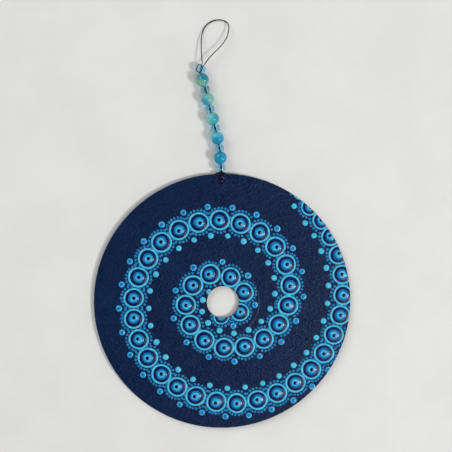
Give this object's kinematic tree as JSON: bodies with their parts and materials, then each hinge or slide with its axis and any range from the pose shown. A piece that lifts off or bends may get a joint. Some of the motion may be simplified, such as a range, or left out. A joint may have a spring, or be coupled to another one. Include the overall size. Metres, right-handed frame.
{
  "type": "hanging disc ornament",
  "caption": "Painted disc ornament with a raised spiral of eye dots, tied at its rim to a jointed bead strand with a hanging loop.",
  "frame": {"origin": "centre of the disc's hub hole, in the plane of the disc's unpainted back", "axes": "+Z out of the painted face, along the hub hole; +Y from the hub to the rim hole and up the strand; +X to the right of the painted face"},
  "size_m": [0.12, 0.191, 0.006],
  "materials": {
    "disc": "clear moulded plastic over a bright reflecting layer, iridescent from the back",
    "navy_coat": "brushed-on navy acrylic paint with a fine leathery grain",
    "eye_dots": "raised glossy dots of light blue paint",
    "iris_dots": "raised glossy dots of mid blue paint",
    "cord": "thin waxed cord, black with a violet sheen",
    "seed_glass": "clear aqua glass",
    "stone_1": "polished, dyed semi-precious stone, opaque",
    "stone_2": "polished, dyed semi-precious stone, opaque",
    "stone_3": "polished, dyed semi-precious stone, opaque",
    "stone_4": "polished, dyed semi-precious stone, opaque",
    "stone_5": "polished, dyed semi-precious stone, opaque"
  },
  "bodies": {
    "disc": {"disc": "disc", "navy_coat": "navy_coat", "eye_dots": "eye_dots", "iris_dots": "iris_dots", "tie": "cord"},
    "knot": {"knot": "cord"},
    "link_1": {"strand_cord_1": "cord"},
    "seed_1": {"seed_1": "seed_glass"},
    "stone_1": {"stone_1": "stone_1"},
    "link_2": {"strand_cord_2": "cord"},
    "seed_2": {"seed_2": "seed_glass"},
    "stone_2": {"stone_2": "stone_2"},
    "link_3": {"strand_cord_3": "cord"},
    "seed_3": {"seed_3": "seed_glass"},
    "stone_3": {"stone_3": "stone_3"},
    "link_4": {"strand_cord_4": "cord"},
    "seed_4": {"seed_4": "seed_glass"},
    "stone_4": {"stone_4": "stone_4"},
    "link_5": {"strand_cord_5": "cord", "seed_6": "seed_glass"},
    "seed_5": {"seed_5": "seed_glass"},
    "stone_5": {"stone_5": "stone_5"},
    "hanging_loop": {"hanging_loop": "cord"}
  },
  "joints": [
    {"name": "strand_swing", "type": "hinge", "parent": "disc", "child": "knot", "pos_m": [-0.00095, 0.0608, 0.00237], "axis": [0, 0, 1], "range_deg": [-19, 14]},
    {"name": "strand_fold", "type": "hinge", "parent": "knot", "child": "link_1", "pos_m": [-0.00095, 0.0608, 0.00237], "axis": [1, 0, 0], "range_deg": [-8, 110]},
    {"name": "seed_1_spin", "type": "hinge", "parent": "link_1", "child": "seed_1", "pos_m": [-0.00109, 0.06276, 0.00237], "axis": [-0.0698, 0.9976, 0], "continuous": true},
    {"name": "stone_1_spin", "type": "hinge", "parent": "link_1", "child": "stone_1", "pos_m": [-0.00141, 0.06731, 0.00237], "axis": [-0.0698, 0.9976, 0], "continuous": true},
    {"name": "bend_2", "type": "hinge", "parent": "link_1", "child": "link_2", "pos_m": [-0.00162, 0.07034, 0.00237], "axis": [0, 0, 1], "range_deg": [-17, 4]},
    {"name": "seed_2_spin", "type": "hinge", "parent": "link_2", "child": "seed_2", "pos_m": [-0.00191, 0.07185, 0.00237], "axis": [-0.1908, 0.9816, 0], "continuous": true},
    {"name": "stone_2_spin", "type": "hinge", "parent": "link_2", "child": "stone_2", "pos_m": [-0.00278, 0.07633, 0.00237], "axis": [-0.1908, 0.9816, 0], "continuous": true},
    {"name": "bend_3", "type": "hinge", "parent": "link_2", "child": "link_3", "pos_m": [-0.00336, 0.07931, 0.00237], "axis": [1, 0, 0], "range_deg": [-10, 10]},
    {"name": "seed_3_spin", "type": "hinge", "parent": "link_3", "child": "seed_3", "pos_m": [-0.00378, 0.08079, 0.00237], "axis": [-0.2756, 0.9613, 0], "continuous": true},
    {"name": "stone_3_spin", "type": "hinge", "parent": "link_3", "child": "stone_3", "pos_m": [-0.00504, 0.08518, 0.00237], "axis": [-0.2756, 0.9613, 0], "continuous": true},
    {"name": "bend_4", "type": "hinge", "parent": "link_3", "child": "link_4", "pos_m": [-0.00588, 0.0881, 0.00237], "axis": [0, 0, 1], "range_deg": [-8, 12]},
    {"name": "seed_4_spin", "type": "hinge", "parent": "link_4", "child": "seed_4", "pos_m": [-0.00623, 0.0896, 0.00237], "axis": [-0.225, 0.9744, 0], "continuous": true},
    {"name": "stone_4_spin", "type": "hinge", "parent": "link_4", "child": "stone_4", "pos_m": [-0.00725, 0.09405, 0.00237], "axis": [-0.225, 0.9744, 0], "continuous": true},
    {"name": "bend_5", "type": "hinge", "parent": "link_4", "child": "link_5", "pos_m": [-0.00794, 0.09701, 0.00237], "axis": [1, 0, 0], "range_deg": [-10, 10]},
    {"name": "seed_5_spin", "type": "hinge", "parent": "link_5", "child": "seed_5", "pos_m": [-0.00839, 0.09847, 0.00237], "axis": [-0.2924, 0.9563, 0], "continuous": true},
    {"name": "stone_5_spin", "type": "hinge", "parent": "link_5", "child": "stone_5", "pos_m": [-0.00972, 0.10284, 0.00237], "axis": [-0.2924, 0.9563, 0], "continuous": true},
    {"name": "loop_fold", "type": "hinge", "parent": "link_5", "child": "hanging_loop", "pos_m": [-0.0095, 0.11016, 0.00237], "axis": [1, 0, 0], "range_deg": [-60, 90]}
  ]
}
